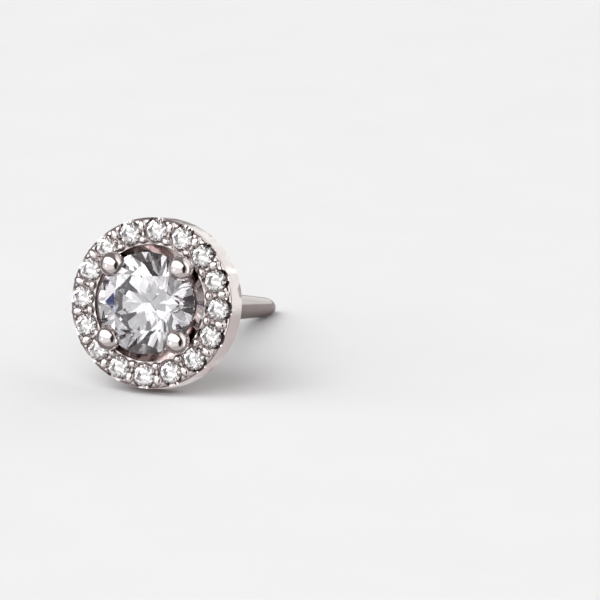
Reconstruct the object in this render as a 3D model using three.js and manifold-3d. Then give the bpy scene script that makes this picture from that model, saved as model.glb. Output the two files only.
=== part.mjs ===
import * as THREE from 'three';
import { mergeVertices } from 'three/addons/utils/BufferGeometryUtils.js';
import Module from 'manifold-3d';

const wasm = await Module();
wasm.setup();

// All lengths are in millimetres and all angles in degrees. The stud is modelled with its face towards +Z
// and z = 0 at the front edge of the halo's side wall, and is laid down as it rests at the end.

// Halo ring
const headDiameter = 7.0;
const haloInnerDiameter = 4.7;
const haloDepth = 1.1;
const haloFaceHeight = 0.24;
const outerBevelWidth = 0.28;
const backChamfer = 0.05;
const lipWidth = 0.14;
const lipHeight = 0.06;
const lipSlope = 0.03;

// Cup behind the centre stone, with the flat plate that carries the post
const cupShoulderDrop = 0.2;
const cupShoulderInset = 0.05;
const cupFloorRadius = 1.3;
const cupFloorDepth = 1.6;
const cupWall = 0.7;
const plateThickness = 0.6;
const plateRim = 0.3;
const plateSideHeight = 0.25;

// Halo stones and their seats
const haloStoneCount = 16;
const haloStoneDiameter = 0.9;
const haloPitchDiameter = 5.92;
const haloGirdleHeight = 0.16;
const haloStoneTurn = 8.5;
const stoneClearance = 0.03;

// Scallops cut into the halo's outer edge, one beside each stone
const scallopWidth = 0.86;
const scallopDepth = 0.35;
const scallopReach = 0.5;

// Beads that hold the halo stones, two in each gap between neighbours
const outerBeadPitchDiameter = 6.26;
const outerBeadDiameter = 0.34;
const innerBeadPitchDiameter = 5.12;
const innerBeadDiameter = 0.36;
const beadRise = 0.03;
const cutAboveBeads = 0.05;

// Centre stone
const centerStoneDiameter = 4.15;
const centerGirdleHeight = 0.6;
const centerStoneTurn = 25;

// Cut of every stone, as shares of its diameter
const tableShare = 0.58;
const crownShare = 0.155;
const girdleShare = 0.035;
const pavilionShare = 0.43;
const starShare = 0.5;
const lowerFacetShare = 0.78;

// Claws
const clawCount = 4;
const clawTurn = 47;
const clawBallDiameter = 0.84;
const clawBallInset = 0.005;
const clawBallHeight = 0.82;
const clawWireDiameter = 0.6;
const clawFootOutset = 0.12;
const clawFootSink = 0.1;

// Post
const postDiameter = 1.02;
const postEndDiameter = 0.84;
const postTaperLength = 2.5;
const postTipLength = 1.4;
const postTipFullness = 1.6;
const postReach = 14.1;
const postDrop = 0.12;
const solderFillet = 0.12;

// Facets of the round forms
const headSides = 32;
const postSides = 20;
const clawSides = 16;
const beadSides = 10;
const seatSides = 16;
const bevelSteps = 3;
const arcSteps = 6;
const tipSteps = 5;
const facetsAround = 8;
const centerGirdleSteps = 4;
const haloGirdleSteps = 1;
const weldDistance = 1e-5;

const headRadius = headDiameter / 2;
const haloInnerRadius = haloInnerDiameter / 2;
const haloPitchRadius = haloPitchDiameter / 2;
const plateBackDepth = cupFloorDepth + plateThickness;
const cutTop = haloFaceHeight + beadRise + innerBeadDiameter / 2 + cutAboveBeads;
const stoneStep = (2 * Math.PI) / haloStoneCount;
const radians = THREE.MathUtils.degToRad;

const silver = new THREE.MeshStandardMaterial({ color: 0xcfc9c6, metalness: 1, roughness: 0.12 });
const clearStone = new THREE.MeshStandardMaterial({
  color: 0xf4f4f8,
  metalness: 0,
  roughness: 0.02,
  flatShading: true,
});

function solidFrom(geometry) {
  const bare = geometry.clone();
  for (const name of Object.keys(bare.attributes)) {
    if (name !== 'position') bare.deleteAttribute(name);
  }
  const merged = mergeVertices(bare, weldDistance);
  const corners = merged.index.array;
  const triangles = [];
  for (let i = 0; i < corners.length; i += 3) {
    const [a, b, c] = [corners[i], corners[i + 1], corners[i + 2]];
    if (a !== b && b !== c && c !== a) triangles.push(a, b, c);
  }
  return new wasm.Manifold(
    new wasm.Mesh({
      numProp: 3,
      vertProperties: merged.attributes.position.array,
      triVerts: new Uint32Array(triangles),
    }),
  );
}

function geometryFrom(solid) {
  const mesh = solid.getMesh();
  const geometry = new THREE.BufferGeometry();
  geometry.setAttribute('position', new THREE.BufferAttribute(mesh.vertProperties, 3));
  geometry.setIndex(new THREE.BufferAttribute(mesh.triVerts, 1));
  geometry.computeVertexNormals();
  return geometry;
}

// A solid turned round the Z axis from [radius, z] rows that run up its outside. One corner faces -Y.
function turned(rows, sides) {
  const points = rows.map(([radius, z]) => new THREE.Vector2(radius, z));
  return new THREE.LatheGeometry(points, sides).rotateX(Math.PI / 2);
}

// Copies of a geometry made at the -Y side, set round the Z axis.
function around(geometry, count, firstAngle) {
  const copies = [];
  for (let k = 0; k < count; k += 1) {
    copies.push(solidFrom(geometry.clone().rotateZ(firstAngle + (k * 2 * Math.PI) / count)));
  }
  return copies;
}

// Points on a quarter arc from [radius, z] below to [radius, z] above, bulging away from the axis.
function quarterArc([fromRadius, fromZ], [toRadius, toZ], steps) {
  const rows = [];
  for (let i = 0; i <= steps; i += 1) {
    const angle = (i / steps) * (Math.PI / 2);
    rows.push([
      toRadius + (fromRadius - toRadius) * Math.cos(angle),
      fromZ + (toZ - fromZ) * Math.sin(angle),
    ]);
  }
  return rows;
}

// A round brilliant with its girdle's middle at z = 0 and its table towards +Z.
function brilliant(diameter, girdleSteps) {
  const radius = diameter / 2;
  const halfGirdle = (diameter * girdleShare) / 2;
  const tableRadius = radius * tableShare;
  const tableZ = halfGirdle + diameter * crownShare;
  const culetZ = -halfGirdle - diameter * pavilionShare;
  const half = Math.PI / facetsAround;
  const count = 2 * facetsAround * girdleSteps;

  const tableInner = tableRadius * Math.cos(half);
  const starRadius = tableInner + starShare * (radius - tableInner);
  const starDrop = (starRadius * Math.cos(half) - tableRadius) / (radius - tableRadius);
  const starZ = tableZ + starDrop * (halfGirdle - tableZ);
  const lowRadius = (1 - lowerFacetShare) * radius;
  const lowZ = culetZ + ((lowRadius * Math.cos(half)) / radius) * (-halfGirdle - culetZ);

  const at = (r, angle, z) => new THREE.Vector3(r * Math.cos(angle), r * Math.sin(angle), z);
  const table = (k) => at(tableRadius, 2 * k * half, tableZ);
  const star = (k) => at(starRadius, (2 * k + 1) * half, starZ);
  const low = (k) => at(lowRadius, (2 * k + 1) * half, lowZ);
  const culet = at(0, 0, culetZ);

  // Where the flat facet between an inner corner and two girdle corners meets the round girdle.
  const girdle = (j, inner, side) => {
    const facet = Math.floor(j / girdleSteps);
    const point = at(radius, (j * half) / girdleSteps, side * halfGirdle);
    if (j % girdleSteps === 0) return point;
    const plane = new THREE.Plane().setFromCoplanarPoints(
      inner(Math.floor(facet / 2)),
      at(radius, facet * half, side * halfGirdle),
      at(radius, (facet + 1) * half, side * halfGirdle),
    );
    point.z -= plane.distanceToPoint(point) / plane.normal.z;
    return point;
  };
  const upper = (j) => girdle(j % count, star, 1);
  const lower = (j) => girdle(j % count, low, -1);

  const corners = [];
  const add = (...points) => points.forEach((p) => corners.push(p.x, p.y, p.z));
  for (let k = 0; k < facetsAround; k += 1) {
    const tip = 2 * k * girdleSteps;
    if (k > 0 && k < facetsAround - 1) add(table(0), table(k), table(k + 1));
    add(table(k), star(k), table(k + 1));
    add(table(k), star(k - 1), upper(tip));
    add(table(k), upper(tip), star(k));
    add(lower(tip), low(k - 1), culet);
    add(lower(tip), culet, low(k));
    for (let j = tip; j < tip + 2 * girdleSteps; j += 1) {
      add(star(k), upper(j), upper(j + 1));
      add(low(k), lower(j + 1), lower(j));
      add(lower(j), lower(j + 1), upper(j + 1));
      add(lower(j), upper(j + 1), upper(j));
    }
  }
  const geometry = new THREE.BufferGeometry();
  geometry.setAttribute('position', new THREE.Float32BufferAttribute(corners, 3));
  return geometry;
}

// The seat of a halo stone: a cone below the girdle and a straight bore above it, past the beads' tops.
function haloSeat() {
  const radius = haloStoneDiameter / 2 + stoneClearance;
  const girdleBottom = haloGirdleHeight - (haloStoneDiameter * girdleShare) / 2;
  const bottom = girdleBottom - haloStoneDiameter * pavilionShare - stoneClearance;
  const rows = [[0, bottom], [radius, girdleBottom], [radius, cutTop], [0, cutTop]];
  return turned(rows, seatSides).translate(0, -haloPitchRadius, 0);
}

// The room that the centre stone needs between the claws.
function centerRoom() {
  const room = brilliant(centerStoneDiameter + 2 * stoneClearance, centerGirdleSteps);
  return room.rotateZ(radians(centerStoneTurn)).translate(0, 0, centerGirdleHeight);
}

// Radius of the cup's inner wall at a height between its shoulder and its floor.
function cupRadiusAt(z) {
  const shoulderRadius = haloInnerRadius - cupShoulderInset;
  const share = (-cupShoulderDrop - z) / (cupFloorDepth - cupShoulderDrop);
  return shoulderRadius + share * (cupFloorRadius - shoulderRadius);
}

// The halo and the cup behind it.
function haloAndCup() {
  const lipOuter = haloInnerRadius + lipWidth;
  const lipTop = haloFaceHeight + lipHeight;
  const plateRadius = cupFloorRadius + plateRim;
  const rows = [
    [0, -plateBackDepth],
    [plateRadius, -plateBackDepth],
    [plateRadius, -plateBackDepth + plateSideHeight],
    [cupRadiusAt(-haloDepth) + cupWall, -haloDepth],
    [headRadius - backChamfer, -haloDepth],
    [headRadius, -haloDepth + backChamfer],
    ...quarterArc([headRadius, 0], [headRadius - outerBevelWidth, haloFaceHeight], bevelSteps),
    [lipOuter, haloFaceHeight],
    [lipOuter - lipSlope, lipTop],
    [haloInnerRadius + lipSlope, lipTop],
    [haloInnerRadius, haloFaceHeight],
    [haloInnerRadius - cupShoulderInset, -cupShoulderDrop],
    [cupFloorRadius, -cupFloorDepth],
    [0, -cupFloorDepth],
  ];
  return turned(rows, headSides);
}

function scallop() {
  const half = scallopWidth / 2;
  const centre = half - scallopDepth;
  const outline = new THREE.Shape();
  outline.moveTo(-half, cutTop);
  outline.lineTo(-half, centre);
  outline.absarc(0, centre, half, Math.PI, 2 * Math.PI, false);
  outline.lineTo(half, cutTop);
  outline.closePath();
  const length = 2 * scallopReach;
  const cut = new THREE.ExtrudeGeometry(outline, {
    depth: length,
    bevelEnabled: false,
    curveSegments: arcSteps,
  });
  return cut.rotateX(Math.PI / 2).translate(0, -(headRadius - length / 2), 0);
}

function bead(diameter, pitchDiameter) {
  const ball = new THREE.SphereGeometry(diameter / 2, beadSides, beadSides / 2).rotateX(Math.PI / 2);
  return ball.translate(0, -pitchDiameter / 2, haloFaceHeight + beadRise);
}

function claw() {
  const foot = new THREE.Vector3(0, -cupFloorRadius - clawFootOutset, -cupFloorDepth - clawFootSink);
  const head = new THREE.Vector3(0, clawBallInset - centerStoneDiameter / 2, clawBallHeight);
  const length = foot.distanceTo(head);
  const lean = new THREE.Quaternion().setFromUnitVectors(
    new THREE.Vector3(0, 0, 1),
    head.clone().sub(foot).normalize(),
  );
  const wireRadius = clawWireDiameter / 2;
  const wire = turned([[0, 0], [wireRadius, 0], [wireRadius, length], [0, length]], clawSides)
    .applyQuaternion(lean)
    .translate(foot.x, foot.y, foot.z);
  const ball = new THREE.SphereGeometry(clawBallDiameter / 2, clawSides, clawSides / 2)
    .rotateX(Math.PI / 2)
    .translate(head.x, head.y, head.z);
  return [wire, ball];
}

// Rows of the post's outline from its tip up to the plate.
function postRows() {
  const endRadius = postEndDiameter / 2;
  const radius = postDiameter / 2;
  const tip = [];
  for (let i = 0; i <= tipSteps; i += 1) {
    const share = i / tipSteps;
    tip.push([
      endRadius * Math.sin((share * Math.PI) / 2),
      -postReach + postTipLength * share ** postTipFullness,
    ]);
  }
  return [
    ...tip,
    [radius, -postReach + postTipLength + postTaperLength],
    [radius, -plateBackDepth - solderFillet],
    [radius + solderFillet, -plateBackDepth],
    [radius + solderFillet, -plateBackDepth + solderFillet],
    [0, -plateBackDepth + solderFillet],
  ];
}

function setting() {
  const firstClaw = radians(clawTurn) + Math.PI / 2;
  const claws = claw()
    .flatMap((piece) => around(piece, clawCount, firstClaw))
    .reduce((whole, piece) => whole.add(piece))
    .subtract(solidFrom(centerRoom()));
  const joined = [
    claws,
    solidFrom(turned(postRows(), postSides).translate(0, -postDrop, 0)),
    ...around(bead(outerBeadDiameter, outerBeadPitchDiameter), haloStoneCount, stoneStep / 2),
    ...around(bead(innerBeadDiameter, innerBeadPitchDiameter), haloStoneCount, stoneStep / 2),
  ].reduce((whole, piece) => whole.add(piece), solidFrom(haloAndCup()));
  const cuts = [...around(scallop(), haloStoneCount, 0), ...around(haloSeat(), haloStoneCount, 0)];
  return cuts.reduce((whole, cut) => whole.subtract(cut), joined);
}

function named(name, geometry, material) {
  const mesh = new THREE.Mesh(geometry, material);
  mesh.name = name;
  return mesh;
}

// The tilt at which the post's tip and the back edge of the halo's side wall both touch a flat surface.
function restTilt() {
  const rimZ = -haloDepth + backChamfer;
  const tilts = postRows().map(([radius, z]) => {
    return z < rimZ ? Math.atan((headRadius - radius - postDrop) / (rimZ - z)) : Infinity;
  });
  return Math.min(...tilts);
}

const stud = new THREE.Group();
stud.add(named('setting', geometryFrom(setting()), silver));

const centerStone = named('center_stone', brilliant(centerStoneDiameter, centerGirdleSteps), clearStone);
centerStone.position.z = centerGirdleHeight;
centerStone.rotation.z = radians(centerStoneTurn);
stud.add(centerStone);

for (let k = 0; k < haloStoneCount; k += 1) {
  const name = `halo_stone_${String(k + 1).padStart(2, '0')}`;
  const stone = named(name, brilliant(haloStoneDiameter, haloGirdleSteps), clearStone);
  const angle = k * stoneStep - Math.PI / 2;
  stone.position.set(haloPitchRadius * Math.cos(angle), haloPitchRadius * Math.sin(angle), haloGirdleHeight);
  stone.rotation.z = radians(k * haloStoneTurn);
  stud.add(stone);
}

// Laid down as it rests, with the face turned to -Y and a little up, and the middle of its base at the origin.
stud.rotation.x = Math.PI / 2 - restTilt();
const box = new THREE.Box3().setFromObject(stud, true);
const middle = box.getCenter(new THREE.Vector3());
stud.position.set(-middle.x, -middle.y, -box.min.z);

const earring = new THREE.Group();
earring.add(stud);

export default earring;
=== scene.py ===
"""Looks of a round halo stud earring that lies on a pale table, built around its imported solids."""

import math

import bmesh
import bpy
from mathutils import Matrix, Vector


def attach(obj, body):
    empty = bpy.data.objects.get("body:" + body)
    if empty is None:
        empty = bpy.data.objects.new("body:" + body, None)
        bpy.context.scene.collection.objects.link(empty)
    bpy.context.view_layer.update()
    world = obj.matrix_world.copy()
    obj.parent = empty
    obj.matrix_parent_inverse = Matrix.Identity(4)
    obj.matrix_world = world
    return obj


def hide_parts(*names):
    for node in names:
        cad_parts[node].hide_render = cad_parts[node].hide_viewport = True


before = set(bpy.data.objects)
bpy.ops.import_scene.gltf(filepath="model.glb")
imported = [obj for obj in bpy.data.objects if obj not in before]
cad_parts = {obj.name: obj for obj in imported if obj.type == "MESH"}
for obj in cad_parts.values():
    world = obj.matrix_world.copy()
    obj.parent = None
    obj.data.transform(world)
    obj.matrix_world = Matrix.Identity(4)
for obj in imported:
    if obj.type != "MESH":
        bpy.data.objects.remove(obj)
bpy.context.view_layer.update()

# Sizes in millimetres, in the stud's own frame: face towards +Z, z = 0 at the front edge of the side wall.
# The ring, with its rounded front edge and the lip round the cup
HEAD_RADIUS = 3.49
HEAD_SIDES = 96
HALO_DEPTH = 1.1
BEVEL_WIDTH = 0.28
BEVEL_STEPS = 4
FACE_HEIGHT = 0.24
LIP_OUTER_RADIUS = 2.49
LIP_WIDTH = 0.07
LIP_HEIGHT = 0.035

# The cup inside the ring, and its flat back plate. A steep wall narrows by its draft.
CUP_SHOULDER_RADIUS = 2.3
CUP_SHOULDER_Z = -0.2
CUP_FLOOR_RADIUS = 1.3
CUP_FLOOR_Z = -1.6
CUP_BACK_RADIUS = 2.36
PLATE_RADIUS = 1.6
PLATE_EDGE_Z = -1.95
PLATE_BACK_Z = -2.2
WALL_DRAFT = 0.99

# The halo stones' seats, and the scallops in the ring's outer edge
STONES = 16
PITCH_RADIUS = 2.96
SEAT_RADIUS = 0.475
SEAT_SIDES = 32
SEAT_GIRDLE_Z = 0.144
SEAT_BOTTOM_Z = -0.27
SEAT_BOTTOM_SHARE = 0.04
SEAT_FUNNEL_Z = 0.17
SEAT_TOP_RADIUS = 0.57
SEAT_TOP_Z = 0.263
SCALLOP_RADIUS = 0.45
SCALLOP_SIDES = 40
SCALLOP_Z = 0.43
SCALLOP_REACH = 0.5
CUT_TOP = 0.6

# The beads between the halo stones, made at the -Y side
OUTER_BEAD_SIZE = (0.19, 0.26, 0.19)
OUTER_BEAD_PLACE = (0, -3.15, 0.21)
INNER_BEAD_SIZE = (0.19, 0.17, 0.17)
INNER_BEAD_PLACE = (0, -2.58, 0.27)
BEAD_SIDES = 24
BEAD_RINGS = 14
BEAD_FOOT = 0.3
BEAD_SPREAD = 1.25

# The claws, each a leaning wire with a ball
CLAWS = 4
CLAW_TURN = 137
CLAW_RADIUS = 0.52
CLAW_BALL_SIDES = 40
CLAW_BALL_RINGS = 24
CLAW_PLACE = 2.1
CLAW_Z = 0.82
CLAW_WIRE_RADIUS = 0.34
CLAW_WIRE_SIDES = 32
CLAW_FOOT_PLACE = 1.42
CLAW_FOOT_Z = -1.7

# The centre stone, and the room that the claws leave it
TABLE_Z = 1.316
STONE_GIRDLE_Z = 0.6
ROOM_RADIUS = 2.11
ROOM_SIDES = 64
ROOM_GIRDLE = 0.17
ROOM_TABLE_Z = 1.35
ROOM_TABLE_SHARE = 0.58
ROOM_CULET_Z = -1.32
ROOM_CULET_SHARE = 0.02

# The post, with a slow taper and a bullet tip
POST_RADIUS = 0.51
POST_SIDES = 48
POST_END_RADIUS = 0.42
POST_ROOT = 0.1
POST_TAPER_LENGTH = 2.5
POST_TIP_Z = -14.1
POST_TIP_LENGTH = 1.4
POST_TIP_STEPS = 10
POST_TIP_CURVE = 1.6
POST_TIP_SHARE = 0.03
POST_DROP = 0.12

# The most that the ring's edges are softened. Blender narrows it to the shortest edge that the cuts leave.
EDGE_SOFTNESS = 0.02

# Each set of tints has a darker and a lighter tint.
SILVER_TINTS = ((0.60, 0.54, 0.53), (0.72, 0.67, 0.66))
# The post's tints are painted shade: the same silver made darker, for the darker reflections along the
# post
POST_SHADED_TINTS = ((0.37, 0.34, 0.335), (0.43, 0.395, 0.39))
# Painted shade in the silver's creases: its grey, and how near other metal must stand to bring it on
PAINTED_CREASE_SHADE = (0.40, 0.33, 0.325)
PAINTED_SHADE_REACH = 0.0003
CENTRE_GEM_TINTS = ((0.79, 0.786, 0.794), (0.86, 0.856, 0.864))
HALO_GEM_TINTS = ((0.84, 0.835, 0.835), (0.91, 0.905, 0.905))
GEM_IOR = 2.19
TABLE_TINTS = ((0.605, 0.605, 0.608), (0.63, 0.63, 0.633))
# The card's tints are painted shade, which only the metal's reflections see
SHADE_CARD_TINTS = ((0.37, 0.33, 0.33), (0.45, 0.41, 0.41))

# The table, the card and the lamp, in metres. The card and the lamp are placed from the stud.
TABLE_SIZE = 2.0
CARD_PLACE = (-0.0095, 0.037)
CARD_SIZE = (0.031, 0.057)
CARD_HEIGHT = 0.0001
LAMP_AZIMUTH = -20
LAMP_ELEVATION = 62
LAMP_DISTANCE = 0.6
LAMP_SIZE = 0.35
LAMP_STRENGTH = 1.6

# The photograph's view
VIEW_AZIMUTH = 20.9
VIEW_ELEVATION = 14.4
CAMERA_DISTANCE = 0.4
PIXELS_PER_METRE = 24600
IMAGE_SIDE = 600
HEAD_PIXEL = (152, 303)
SENSOR = 36

# The studio dome: its colour, then panels of tint, strength, azimuth, elevation, width, height, soft edge
DOME_COLOUR = (0.27, 0.24, 0.245)
DOME_PANELS = (
    ((1.0, 1.0, 0.98), 1.1, 120, 40, 70, 60, 8),
    ((1.0, 0.98, 0.97), 0.7, 20, -45, 200, 60, 8),
    ((0.75, 0.70, 0.70), 1.0, 168, -34, 70, 36, 6),
    ((1.0, 1.0, 0.98), 1.15, 165, 10, 60, 52, 5),
    ((1.0, 1.0, 0.98), 1.9, 156, 4, 20, 5, 2),
    ((0.02, 0.02, 0.02), 1.0, 52, 18, 27, 100, 3),
    ((1.0, 0.98, 0.96), 1.7, 92, 12, 24, 90, 5),
    ((1.0, 1.0, 1.0), 1.15, -24, -8, 112, 56, 4),
    ((1.0, 1.0, 1.0), 2.5, -24, 45, 112, 56, 6),
    ((1.0, 1.0, 1.0), 7.0, -4, 34, 16, 14, 3),
    ((1.0, 1.0, 1.0), 7.0, -46, 52, 16, 14, 3),
    ((1.0, 1.0, 1.0), 5.0, -40, -6, 12, 12, 3),
    ((0.20, 0.34, 1.0), 1.0, -66, 4, 8, 16, 2),
    ((0.30, 0.90, 1.0), 1.6, -74, 20, 8, 10, 2),
)

# Sockets of a Mix node that mixes colours
MIX_AMOUNT, MIX_FIRST, MIX_SECOND, MIX_RESULT = 0, 6, 7, 2


def corners_of(node):
    return [v.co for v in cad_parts[node].data.vertices]


def middle(points):
    return sum(points, Vector()) / len(points)


def stud_matrix():
    """Carries the stud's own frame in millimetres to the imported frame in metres."""
    around = [middle(corners_of(f"halo_stone_{k + 1:02d}")) for k in range(STONES)]
    centre = middle(around)
    up = (centre - around[0]).normalized()
    out = (around[STONES // 4] - centre).cross(around[STONES // 2] - centre).normalized()
    table = max(corner.dot(out) for corner in corners_of("center_stone"))
    origin = centre + out * (table - TABLE_Z / 1000 - centre.dot(out))
    turn = Matrix((up.cross(out), up, out)).transposed()
    return Matrix.Translation(origin) @ (turn * 0.001).to_4x4()


STUD = stud_matrix()


def select_only(*pieces):
    bpy.ops.object.select_all(action="DESELECT")
    for piece in pieces:
        piece.select_set(True)
    bpy.context.view_layer.objects.active = pieces[0]


def start_editing(piece):
    select_only(piece)
    bpy.ops.object.mode_set(mode="EDIT")
    bpy.ops.mesh.select_mode(type="FACE")
    bpy.ops.mesh.select_all(action="DESELECT")


def pick_faces(piece, wanted):
    mesh = bmesh.from_edit_mesh(piece.data)
    for face in mesh.faces:
        face.select_set(wanted(face))
    bmesh.update_edit_mesh(piece.data)


def looks_up(face):
    return face.normal.z > 0.9


def looks_down(face):
    return face.normal.z < -0.9


def stop_editing():
    bpy.ops.object.mode_set(mode="OBJECT")


def push(depth, size=1.0):
    """Extrudes the picked face along Z and resizes it about its middle."""
    bpy.ops.mesh.extrude_region_move(TRANSFORM_OT_translate={"value": (0, 0, depth)})
    bpy.ops.transform.resize(value=(size, size, 1))


def apply_modifier(piece, kind, **settings):
    select_only(piece)
    modifier = piece.modifiers.new(kind.title(), kind)
    for name, value in settings.items():
        setattr(modifier, name, value)
    bpy.ops.object.modifier_apply(modifier=modifier.name)


def settle(piece):
    """Writes the object's own move, turn and size into its mesh."""
    select_only(piece)
    bpy.ops.object.transform_apply(location=True, rotation=True, scale=True)


def copy_round(piece, count, first_turn):
    """Copies a piece made at the -Y side round the Z axis and joins the copies."""
    settle(piece)
    copies = [piece]
    for k in range(1, count):
        copy = piece.copy()
        copy.data = piece.data.copy()
        bpy.context.collection.objects.link(copy)
        copy.rotation_euler.z = math.radians(first_turn) + 2 * math.pi * k / count
        copies.append(copy)
    piece.rotation_euler.z = math.radians(first_turn)
    select_only(*copies)
    bpy.ops.object.join()
    settle(piece)
    return piece


def cut_away(piece, tool):
    apply_modifier(piece, "BOOLEAN", object=tool, operation="DIFFERENCE", solver="EXACT")
    bpy.data.objects.remove(tool)


def smooth(piece, angle):
    """Smooth shading that leaves the large faces true."""
    select_only(piece)
    bpy.ops.object.shade_smooth_by_angle(angle=math.radians(angle))
    apply_modifier(piece, "WEIGHTED_NORMAL", keep_sharp=True)


def lay_down(piece, name, material):
    """Puts a finished piece of metal where the stud lies, fixes it to the root body, and hides the
    imported setting that it stands for.
    """
    settle(piece)
    piece.name = name
    piece.data.name = name
    piece.data.transform(STUD)
    piece.data.materials.clear()
    piece.data.materials.append(material)
    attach(piece, "root")
    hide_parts("setting")


def halo_and_cup(material):
    bpy.ops.mesh.primitive_cylinder_add(
        vertices=HEAD_SIDES, radius=HEAD_RADIUS, depth=HALO_DEPTH, location=(0, 0, -HALO_DEPTH / 2)
    )
    head = bpy.context.object
    start_editing(head)
    pick_faces(head, looks_up)
    raise_face()
    sink_cup()
    pick_faces(head, lambda face: looks_down(face) and face.calc_center_median().z < -HALO_DEPTH / 4)
    raise_back_plate()
    stop_editing()
    settle(head)
    cut_away(head, copy_round(scallop_tool(), STONES, 0))
    for k in range(STONES):
        cut_away(head, copy_round(seat_tool(), 1, 360 * k / STONES))
    apply_modifier(
        head, "BEVEL", width=EDGE_SOFTNESS, segments=2, limit_method="ANGLE", angle_limit=math.radians(35)
    )
    smooth(head, angle=38)
    lay_down(head, "halo_and_cup", material)


def raise_face():
    """Rounds the ring's front edge and raises the lip's outer side."""
    step = math.pi / 2 / BEVEL_STEPS
    for k in range(1, BEVEL_STEPS + 1):
        before, after = (k - 1) * step, k * step
        bpy.ops.mesh.inset(thickness=BEVEL_WIDTH * (math.cos(before) - math.cos(after)))
        rise = FACE_HEIGHT * (math.sin(after) - math.sin(before))
        bpy.ops.transform.translate(value=(0, 0, rise))
    bpy.ops.mesh.inset(thickness=HEAD_RADIUS - BEVEL_WIDTH - LIP_OUTER_RADIUS)
    push(LIP_HEIGHT, WALL_DRAFT)


def sink_cup():
    """Ends the lip and sinks the cup inside it."""
    bpy.ops.mesh.inset(thickness=LIP_WIDTH)
    push(-LIP_HEIGHT)
    push(CUP_SHOULDER_Z - FACE_HEIGHT, WALL_DRAFT)
    push(CUP_FLOOR_Z - CUP_SHOULDER_Z, CUP_FLOOR_RADIUS / CUP_SHOULDER_RADIUS)


def raise_back_plate():
    """The cup's outside and its flat plate, which stand out behind the ring."""
    bpy.ops.mesh.inset(thickness=HEAD_RADIUS - CUP_BACK_RADIUS)
    push(PLATE_EDGE_Z + HALO_DEPTH, PLATE_RADIUS / CUP_BACK_RADIUS)
    push(PLATE_BACK_Z - PLATE_EDGE_Z)


def scallop_tool():
    bpy.ops.mesh.primitive_cylinder_add(
        vertices=SCALLOP_SIDES,
        radius=SCALLOP_RADIUS,
        depth=2 * SCALLOP_REACH,
        location=(0, -HEAD_RADIUS, SCALLOP_Z),
        rotation=(math.pi / 2, 0, 0),
    )
    return bpy.context.object


def seat_tool():
    """A stone's seat: a cone under the girdle, and above it a funnel that leaves ridges between seats."""
    depth = SEAT_FUNNEL_Z - SEAT_GIRDLE_Z
    bpy.ops.mesh.primitive_cylinder_add(
        vertices=SEAT_SIDES,
        radius=SEAT_RADIUS,
        depth=depth,
        location=(0, -PITCH_RADIUS, SEAT_GIRDLE_Z + depth / 2),
    )
    tool = bpy.context.object
    start_editing(tool)
    pick_faces(tool, looks_up)
    push(SEAT_TOP_Z - SEAT_FUNNEL_Z, SEAT_TOP_RADIUS / SEAT_RADIUS)
    push(CUT_TOP - SEAT_TOP_Z)
    pick_faces(tool, looks_down)
    push(SEAT_BOTTOM_Z - SEAT_GIRDLE_Z, SEAT_BOTTOM_SHARE)
    stop_editing()
    return tool


def beads(name, size, place, material):
    """Beads raised from the metal, one in each gap between halo stones. Their feet spread into it."""
    bpy.ops.mesh.primitive_uv_sphere_add(
        segments=BEAD_SIDES, ring_count=BEAD_RINGS, radius=1, location=place
    )
    bead = bpy.context.object
    bead.scale = size
    settle(bead)
    start_editing(bead)
    pick_faces(bead, lambda face: face.calc_center_median().z < place[2] - BEAD_FOOT * size[2])
    bpy.ops.transform.resize(value=(BEAD_SPREAD, BEAD_SPREAD, 1))
    stop_editing()
    piece = copy_round(bead, STONES, 180 / STONES)
    smooth(piece, angle=60)
    lay_down(piece, name, material)


def claws(material):
    foot = Vector((0, -CLAW_FOOT_PLACE, CLAW_FOOT_Z))
    head = Vector((0, -CLAW_PLACE, CLAW_Z))
    lean = (head - foot).to_track_quat("Z", "Y").to_euler()
    bpy.ops.mesh.primitive_cylinder_add(
        vertices=CLAW_WIRE_SIDES,
        radius=CLAW_WIRE_RADIUS,
        depth=(head - foot).length,
        location=(foot + head) / 2,
        rotation=lean,
    )
    claw = bpy.context.object
    settle(claw)
    bpy.ops.mesh.primitive_uv_sphere_add(
        segments=CLAW_BALL_SIDES,
        ring_count=CLAW_BALL_RINGS,
        radius=CLAW_RADIUS,
        location=head,
        rotation=lean,
    )
    ball = bpy.context.object
    settle(ball)
    apply_modifier(claw, "BOOLEAN", object=ball, operation="UNION", solver="EXACT")
    bpy.data.objects.remove(ball)
    cut_away(claw, stone_room())
    whole = copy_round(claw, CLAWS, CLAW_TURN)
    smooth(whole, angle=40)
    lay_down(whole, "claws", material)


def stone_room():
    """The space round the centre stone that the claws keep free."""
    bpy.ops.mesh.primitive_cylinder_add(
        vertices=ROOM_SIDES, radius=ROOM_RADIUS, depth=ROOM_GIRDLE, location=(0, 0, STONE_GIRDLE_Z)
    )
    room = bpy.context.object
    start_editing(room)
    pick_faces(room, looks_up)
    push(ROOM_TABLE_Z - STONE_GIRDLE_Z - ROOM_GIRDLE / 2, ROOM_TABLE_SHARE)
    pick_faces(room, looks_down)
    push(ROOM_CULET_Z - STONE_GIRDLE_Z + ROOM_GIRDLE / 2, ROOM_CULET_SHARE)
    stop_editing()
    settle(room)
    return room


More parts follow.
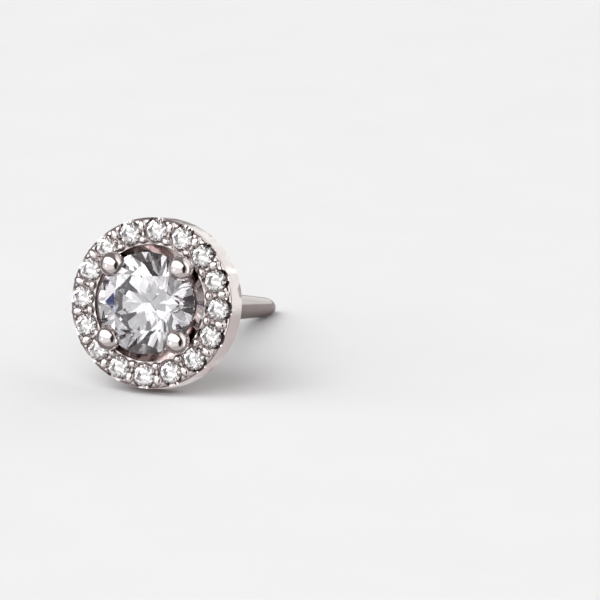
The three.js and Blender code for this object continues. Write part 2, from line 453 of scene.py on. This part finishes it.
def post(material):
    start = PLATE_BACK_Z + POST_ROOT
    taper_start = POST_TIP_Z + POST_TIP_LENGTH + POST_TAPER_LENGTH
    bpy.ops.mesh.primitive_cylinder_add(
        vertices=POST_SIDES,
        radius=POST_RADIUS,
        depth=start - taper_start,
        location=(0, -POST_DROP, (start + taper_start) / 2),
    )
    piece = bpy.context.object
    start_editing(piece)
    pick_faces(piece, looks_down)
    push(-POST_TAPER_LENGTH, POST_END_RADIUS / POST_RADIUS)
    for k in range(POST_TIP_STEPS):
        now, after = 1 - k / POST_TIP_STEPS, 1 - (k + 1) / POST_TIP_STEPS
        width_now = math.sin(now * math.pi / 2)
        width_after = max(math.sin(after * math.pi / 2), POST_TIP_SHARE)
        reach = POST_TIP_LENGTH * (now**POST_TIP_CURVE - after**POST_TIP_CURVE)
        push(-reach, width_after / width_now)
    stop_editing()
    smooth(piece, angle=50)
    lay_down(piece, "post", material)


def node_tools(owner):
    """Clears the nodes of a material or a world. Gives back how to add a node and how to link two."""
    owner.use_nodes = True
    tree = owner.node_tree
    tree.nodes.clear()

    def add(kind, **inputs):
        node = tree.nodes.new(kind)
        for name, value in inputs.items():
            node.inputs[name.replace("_", " ")].default_value = value
        return node

    return add, tree.links.new


def cloudy_tint(add, link, place, tints, scale, detail):
    """Clouds that drift between two tints. Gives back their colour and their density."""
    cloud = add("ShaderNodeTexNoise", Scale=scale, Detail=detail)
    ramp = add("ShaderNodeValToRGB")
    for stop, tint in zip(ramp.color_ramp.elements, tints):
        stop.color = (*tint, 1)
    link(place, cloud.inputs["Vector"])
    link(cloud.outputs["Fac"], ramp.inputs["Fac"])
    return ramp.outputs["Color"], cloud.outputs["Fac"]


def fine_grain(add, link, place, scale, strength, depth):
    """Small bumps, with their depth in metres. Gives back the normal that they make."""
    grain = add("ShaderNodeTexNoise", Scale=scale, Detail=2.0)
    bump = add("ShaderNodeBump", Strength=strength, Distance=depth)
    link(place, grain.inputs["Vector"])
    link(grain.outputs["Fac"], bump.inputs["Height"])
    return bump.outputs["Normal"]


def paint_shade_in_creases(add, link, colour):
    """Painted shade: darkens a colour towards a grey where other metal stands close."""
    crease = add("ShaderNodeAmbientOcclusion", Distance=PAINTED_SHADE_REACH)
    ramp = add("ShaderNodeValToRGB")
    deep, clear = ramp.color_ramp.elements
    deep.position = 0.3
    deep.color = (*PAINTED_CREASE_SHADE, 1)
    clear.position = 0.85
    shaded = add("ShaderNodeMix")
    shaded.data_type = "RGBA"
    shaded.blend_type = "MULTIPLY"
    shaded.inputs[MIX_AMOUNT].default_value = 1.0
    link(crease.outputs["AO"], ramp.inputs["Fac"])
    link(colour, shaded.inputs[MIX_FIRST])
    link(ramp.outputs["Color"], shaded.inputs[MIX_SECOND])
    return shaded.outputs[MIX_RESULT]


def polished_silver(name, tints):
    """Silver with faint clouds of tint and shine, and painted shade, a dull grey, in its creases."""
    material = bpy.data.materials.new(name)
    add, link = node_tools(material)
    shader = add("ShaderNodeBsdfPrincipled", Metallic=1.0)
    out = add("ShaderNodeOutputMaterial")
    place = add("ShaderNodeTexCoord").outputs["Object"]
    colour, density = cloudy_tint(add, link, place, tints, scale=900.0, detail=3.0)
    shine = add("ShaderNodeMapRange", To_Min=0.05, To_Max=0.16)
    grain = fine_grain(add, link, place, scale=2600.0, strength=0.12, depth=0.00004)
    # The base colour carries painted shade in the creases
    link(paint_shade_in_creases(add, link, colour), shader.inputs["Base Color"])
    link(density, shine.inputs["Value"])
    link(shine.outputs["Result"], shader.inputs["Roughness"])
    link(grain, shader.inputs["Normal"])
    link(shader.outputs["BSDF"], out.inputs["Surface"])
    return material


def clear_stone(name, tints):
    material = bpy.data.materials.new(name)
    add, link = node_tools(material)
    glass = add("ShaderNodeBsdfGlass", Roughness=0.0, IOR=GEM_IOR)
    out = add("ShaderNodeOutputMaterial")
    place = add("ShaderNodeTexCoord").outputs["Object"]
    colour, _ = cloudy_tint(add, link, place, tints, scale=500.0, detail=2.0)
    link(colour, glass.inputs["Color"])
    link(glass.outputs["BSDF"], out.inputs["Surface"])
    return material


def set_stones(centre_gem, halo_gem):
    for name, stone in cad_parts.items():
        if name != "setting":
            stone.material_slots[0].material = centre_gem if name == "center_stone" else halo_gem


def pale_paint():
    """Matt paint with a fine grain, which mirrors nothing."""
    material = bpy.data.materials.new("pale_table")
    add, link = node_tools(material)
    shader = add("ShaderNodeBsdfPrincipled", Roughness=0.6, Specular_IOR_Level=0.0)
    out = add("ShaderNodeOutputMaterial")
    place = add("ShaderNodeTexCoord").outputs["Object"]
    colour, _ = cloudy_tint(add, link, place, TABLE_TINTS, scale=180.0, detail=4.0)
    grain = fine_grain(add, link, place, scale=3000.0, strength=0.1, depth=0.00005)
    link(colour, shader.inputs["Base Color"])
    link(grain, shader.inputs["Normal"])
    link(shader.outputs["BSDF"], out.inputs["Surface"])
    return material


def table():
    """The table top. The metal and the stones don't mirror it."""
    bpy.ops.mesh.primitive_plane_add(size=TABLE_SIZE)
    top = bpy.context.object
    top.name = "table_top"
    top.data.materials.append(pale_paint())
    top.visible_glossy = False
    top.visible_transmission = False


def shade_card_paint():
    material = bpy.data.materials.new("reflected_shade_card")
    add, link = node_tools(material)
    shader = add("ShaderNodeBsdfDiffuse")
    out = add("ShaderNodeOutputMaterial")
    place = add("ShaderNodeTexCoord").outputs["Object"]
    colour, _ = cloudy_tint(add, link, place, SHADE_CARD_TINTS, scale=120.0, detail=3.0)
    link(colour, shader.inputs["Color"])
    link(shader.outputs["BSDF"], out.inputs["Surface"])
    return material


def reflected_shade_card():
    """A dark card flat on the table behind the stud, which paints shade into reflections. Only the metal's
    reflections see it.
    """
    place = STUD.translation + Vector((*CARD_PLACE, 0))
    place.z = CARD_HEIGHT
    bpy.ops.mesh.primitive_plane_add(size=1, location=place)
    card = bpy.context.object
    card.name = "reflected_shade_card"
    card.scale = (*CARD_SIZE, 1)
    settle(card)
    card.data.materials.append(shade_card_paint())
    card.visible_camera = False
    card.visible_diffuse = False
    card.visible_shadow = False
    card.visible_transmission = False


def frame_of(azimuth, elevation):
    """Front, right and up of a direction. Azimuth 0 stands in front of the face, and 90 at its right."""
    a, e = math.radians(azimuth), math.radians(elevation)
    front = Vector((math.sin(a) * math.cos(e), -math.cos(a) * math.cos(e), math.sin(e)))
    right = Vector((math.cos(a), math.sin(a), 0))
    return front, right, front.cross(right)


def along(add, link, ray, axis):
    """How far a ray goes along an axis."""
    dot = add("ShaderNodeVectorMath")
    dot.operation = "DOT_PRODUCT"
    dot.inputs[1].default_value = axis
    link(ray, dot.inputs[0])
    return dot.outputs["Value"]


def worked_out(add, link, operation, *numbers):
    """One step of arithmetic on sockets."""
    step = add("ShaderNodeMath")
    step.operation = operation
    for number, socket in zip(numbers, step.inputs):
        link(number, socket)
    return step.outputs[0]


def band(add, link, side, front, size, edge):
    """1 in a soft-edged band on the dome, across one way, and 0 outside it. Sizes are in degrees."""
    angle = worked_out(add, link, "ABSOLUTE", worked_out(add, link, "ARCTAN2", side, front))
    fall = add("ShaderNodeMapRange")
    fall.interpolation_type = "SMOOTHSTEP"
    fall.inputs["From Min"].default_value = math.radians(size / 2 + edge)
    fall.inputs["From Max"].default_value = math.radians(size / 2 - edge)
    link(angle, fall.inputs["Value"])
    return fall.outputs["Result"]


def panel_mask(add, link, ray, azimuth, elevation, width, height, edge):
    """1 inside a soft-edged rectangle on the dome, and 0 outside it."""
    front, right, up = (along(add, link, ray, axis) for axis in frame_of(azimuth, elevation))
    across = band(add, link, right, front, width, edge)
    upright = band(add, link, up, front, height, edge)
    return worked_out(add, link, "MULTIPLY", across, upright)


def studio_dome():
    world = bpy.data.worlds.new("studio")
    bpy.context.scene.world = world
    add, link = node_tools(world)
    ray = add("ShaderNodeTexCoord").outputs["Generated"]
    back = add("ShaderNodeBackground")
    out = add("ShaderNodeOutputWorld")
    colour = None
    for tint, strength, *place in DOME_PANELS:
        mix = add("ShaderNodeMix")
        mix.data_type = "RGBA"
        if colour is None:
            mix.inputs[MIX_FIRST].default_value = (*DOME_COLOUR, 1)
        else:
            link(colour, mix.inputs[MIX_FIRST])
        mix.inputs[MIX_SECOND].default_value = (*(strength * part for part in tint), 1)
        link(panel_mask(add, link, ray, *place), mix.inputs[MIX_AMOUNT])
        colour = mix.outputs[MIX_RESULT]
    link(colour, back.inputs["Color"])
    link(back.outputs["Background"], out.inputs["Surface"])


def table_lamp():
    """A soft square lamp for the table. The metal and the stones mirror the dome, not this."""
    front = frame_of(LAMP_AZIMUTH, LAMP_ELEVATION)[0]
    data = bpy.data.lights.new("table_lamp", "AREA")
    data.size = LAMP_SIZE
    data.energy = LAMP_STRENGTH * LAMP_SIZE * LAMP_SIZE * math.pi
    holder = bpy.data.objects.new("table_lamp", data)
    bpy.context.collection.objects.link(holder)
    holder.location = STUD.translation + front * LAMP_DISTANCE
    holder.rotation_euler = front.to_track_quat("Z", "Y").to_euler()
    holder.visible_glossy = False
    holder.visible_transmission = False


def camera():
    back = frame_of(VIEW_AZIMUTH, VIEW_ELEVATION)[0]
    turn = back.to_track_quat("Z", "Y")
    right, up = turn @ Vector((1, 0, 0)), turn @ Vector((0, 1, 0))
    half = IMAGE_SIDE / 2
    target = STUD.translation + right * (half - HEAD_PIXEL[0]) / PIXELS_PER_METRE
    target = target + up * (HEAD_PIXEL[1] - half) / PIXELS_PER_METRE
    data = bpy.data.cameras.new("camera")
    data.sensor_width = SENSOR
    data.lens = SENSOR * CAMERA_DISTANCE * PIXELS_PER_METRE / IMAGE_SIDE
    data.clip_start = 0.01
    data.clip_end = 20
    holder = bpy.data.objects.new("camera", data)
    bpy.context.collection.objects.link(holder)
    holder.location = target + back * CAMERA_DISTANCE
    holder.rotation_euler = turn.to_euler()
    bpy.context.scene.camera = holder


def light_limits():
    """How often light bounces, so that the stones stay lively, and how its colours are shown."""
    scene = bpy.context.scene
    scene.view_settings.view_transform = "Standard"
    scene.cycles.max_bounces = 24
    scene.cycles.glossy_bounces = 20
    scene.cycles.transmission_bounces = 20
    scene.cycles.sample_clamp_indirect = 8


camera()
silver = polished_silver("polished_silver", SILVER_TINTS)
halo_and_cup(silver)
beads("outer_beads", OUTER_BEAD_SIZE, OUTER_BEAD_PLACE, silver)
beads("inner_beads", INNER_BEAD_SIZE, INNER_BEAD_PLACE, silver)
claws(silver)
# The post is the silver again, tinted darker as painted shade
post(polished_silver("post_silver_painted_shade", POST_SHADED_TINTS))
set_stones(clear_stone("centre_gem", CENTRE_GEM_TINTS), clear_stone("halo_gem", HALO_GEM_TINTS))
table()
reflected_shade_card()
studio_dome()
table_lamp()
light_limits()
